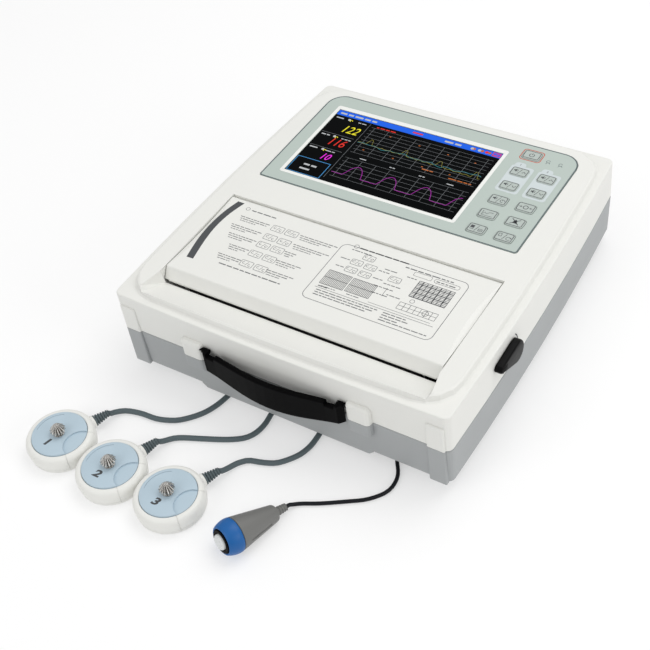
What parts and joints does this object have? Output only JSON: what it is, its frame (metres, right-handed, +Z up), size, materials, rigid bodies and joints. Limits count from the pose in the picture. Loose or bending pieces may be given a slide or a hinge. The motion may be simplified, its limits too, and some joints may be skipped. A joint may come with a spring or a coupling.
{
  "type": "cardiotocograph",
  "caption": "Desktop fetal monitor with a carrying handle, colour screen, keypad, strip-chart printer, round belt probes and a hand-held event marker on cords.",
  "frame": {"origin": "on the floor under the middle of the unit with its probes and marker, cords left out", "axes": "+Z up, +Y from the front edge with the handle to the rear with the mains inlet, +X to the side with the keys and the latch lever"},
  "size_m": [0.3188, 0.4244, 0.0876],
  "materials": {
    "white_shell": "fine satin",
    "grey_shell": "fine satin",
    "black_plastic": "satin",
    "steel": "turned",
    "panel": "printed overlay film",
    "screen": "glossy",
    "key_rubber": "moulded, matte",
    "board": "solder mask",
    "dark_rubber": "matte",
    "cord_grey": "matte",
    "plate_blue": "satin",
    "marker_blue": "satin gloss",
    "marker_grey": "satin",
    "paper": "folded chart paper"
  },
  "bodies": {
    "unit": {"top_cover": "white_shell", "probe_shell_1": "white_shell", "probe_shell_2": "white_shell", "probe_shell_3": "white_shell", "base_housing": "grey_shell", "battery_cover": "grey_shell", "thermal_head": "black_plastic", "power_inlet": "black_plastic", "speaker": "black_plastic", "socket_strip": "black_plastic", "marker_bezel": "black_plastic", "battery_pack": "black_plastic", "display_module": "steel", "head_spring": "steel", "stepper_motor": "steel", "belt_button_1": "steel", "belt_button_2": "steel", "belt_button_3": "steel", "control_panel": "panel", "screen_window": "screen", "keypad_board": "board", "main_board": "board", "power_module": "board", "foot_1": "dark_rubber", "foot_2": "dark_rubber", "foot_3": "dark_rubber", "foot_4": "dark_rubber", "marker_cord": "dark_rubber", "marker_plug": "dark_rubber", "probe_cord_1": "cord_grey", "probe_cord_2": "cord_grey", "probe_cord_3": "cord_grey", "probe_plug_1": "cord_grey", "probe_plug_2": "cord_grey", "probe_plug_3": "cord_grey", "probe_plate_1": "plate_blue", "probe_plate_2": "plate_blue", "probe_plate_3": "plate_blue", "marker_collar": "marker_blue", "marker_body": "marker_grey", "paper_pack": "paper"},
    "door": {"printer_door": "white_shell"},
    "platen": {"platen_roller": "dark_rubber", "platen_gear": "black_plastic"},
    "pinion": {"motor_pinion": "steel"},
    "latch": {"latch_lever": "grey_shell", "latch_hook": "steel"},
    "handle": {"carry_handle": "black_plastic"},
    "marker_push": {"marker_button": "white_shell"},
    "cap_power": {"key_power": "key_rubber"},
    "cap_1": {"key_1": "key_rubber"},
    "cap_2": {"key_2": "key_rubber"},
    "cap_3": {"key_3": "key_rubber"},
    "cap_4": {"key_4": "key_rubber"},
    "cap_5": {"key_5": "key_rubber"},
    "cap_6": {"key_6": "key_rubber"},
    "cap_7": {"key_7": "key_rubber"},
    "cap_8": {"key_8": "key_rubber"},
    "cap_9": {"key_9": "key_rubber"},
    "cap_10": {"key_10": "key_rubber"}
  },
  "joints": [
    {"name": "handle_swing", "type": "hinge", "parent": "unit", "child": "handle", "pos_m": [0.0092, -0.0889, 0.0583], "axis": [1, 0, 0], "range_deg": [-85, 0]},
    {"name": "door_hinge", "type": "hinge", "parent": "unit", "child": "door", "pos_m": [0.0092, 0.0398, 0.0825], "axis": [1, 0, 0], "range_deg": [-85, 0]},
    {"name": "platen_spin", "type": "hinge", "parent": "door", "child": "platen", "pos_m": [0.0092, -0.0452, 0.0705], "axis": [1, 0, 0], "continuous": true},
    {"name": "pinion_spin", "type": "hinge", "parent": "unit", "child": "pinion", "pos_m": [0.0092, -0.0452, 0.0596], "axis": [1, 0, 0], "continuous": true},
    {"name": "latch_turn", "type": "hinge", "parent": "unit", "child": "latch", "pos_m": [0.0092, 0.0063, 0.062], "axis": [1, 0, 0], "range_deg": [0, 25], "stiffness_Nm_per_rad": 0.05, "springref_deg": -17.19},
    {"name": "marker_press", "type": "slide", "parent": "unit", "child": "marker_push", "axis": [0.3312, 0.9238, -0.1919], "range_m": [0, 0.002], "stiffness_N_per_m": 600, "springref_m": -0.001},
    {"name": "key_power_press", "type": "slide", "parent": "unit", "child": "cap_power", "axis": [0, 0, 1], "range_m": [-0.0006, 0], "stiffness_N_per_m": 400, "springref_m": 0.001},
    {"name": "key_1_press", "type": "slide", "parent": "unit", "child": "cap_1", "axis": [0, 0, 1], "range_m": [-0.0006, 0], "stiffness_N_per_m": 400, "springref_m": 0.001},
    {"name": "key_2_press", "type": "slide", "parent": "unit", "child": "cap_2", "axis": [0, 0, 1], "range_m": [-0.0006, 0], "stiffness_N_per_m": 400, "springref_m": 0.001},
    {"name": "key_3_press", "type": "slide", "parent": "unit", "child": "cap_3", "axis": [0, 0, 1], "range_m": [-0.0006, 0], "stiffness_N_per_m": 400, "springref_m": 0.001},
    {"name": "key_4_press", "type": "slide", "parent": "unit", "child": "cap_4", "axis": [0, 0, 1], "range_m": [-0.0006, 0], "stiffness_N_per_m": 400, "springref_m": 0.001},
    {"name": "key_5_press", "type": "slide", "parent": "unit", "child": "cap_5", "axis": [0, 0, 1], "range_m": [-0.0006, 0], "stiffness_N_per_m": 400, "springref_m": 0.001},
    {"name": "key_6_press", "type": "slide", "parent": "unit", "child": "cap_6", "axis": [0, 0, 1], "range_m": [-0.0006, 0], "stiffness_N_per_m": 400, "springref_m": 0.001},
    {"name": "key_7_press", "type": "slide", "parent": "unit", "child": "cap_7", "axis": [0, 0, 1], "range_m": [-0.0006, 0], "stiffness_N_per_m": 400, "springref_m": 0.001},
    {"name": "key_8_press", "type": "slide", "parent": "unit", "child": "cap_8", "axis": [0, 0, 1], "range_m": [-0.0006, 0], "stiffness_N_per_m": 400, "springref_m": 0.001},
    {"name": "key_9_press", "type": "slide", "parent": "unit", "child": "cap_9", "axis": [0, 0, 1], "range_m": [-0.0006, 0], "stiffness_N_per_m": 400, "springref_m": 0.001},
    {"name": "key_10_press", "type": "slide", "parent": "unit", "child": "cap_10", "axis": [0, 0, 1], "range_m": [-0.0006, 0], "stiffness_N_per_m": 400, "springref_m": 0.001}
  ],
  "couplings": [
    {"joint": "pinion_spin", "follows": "platen_spin", "ratio": -2}
  ]
}
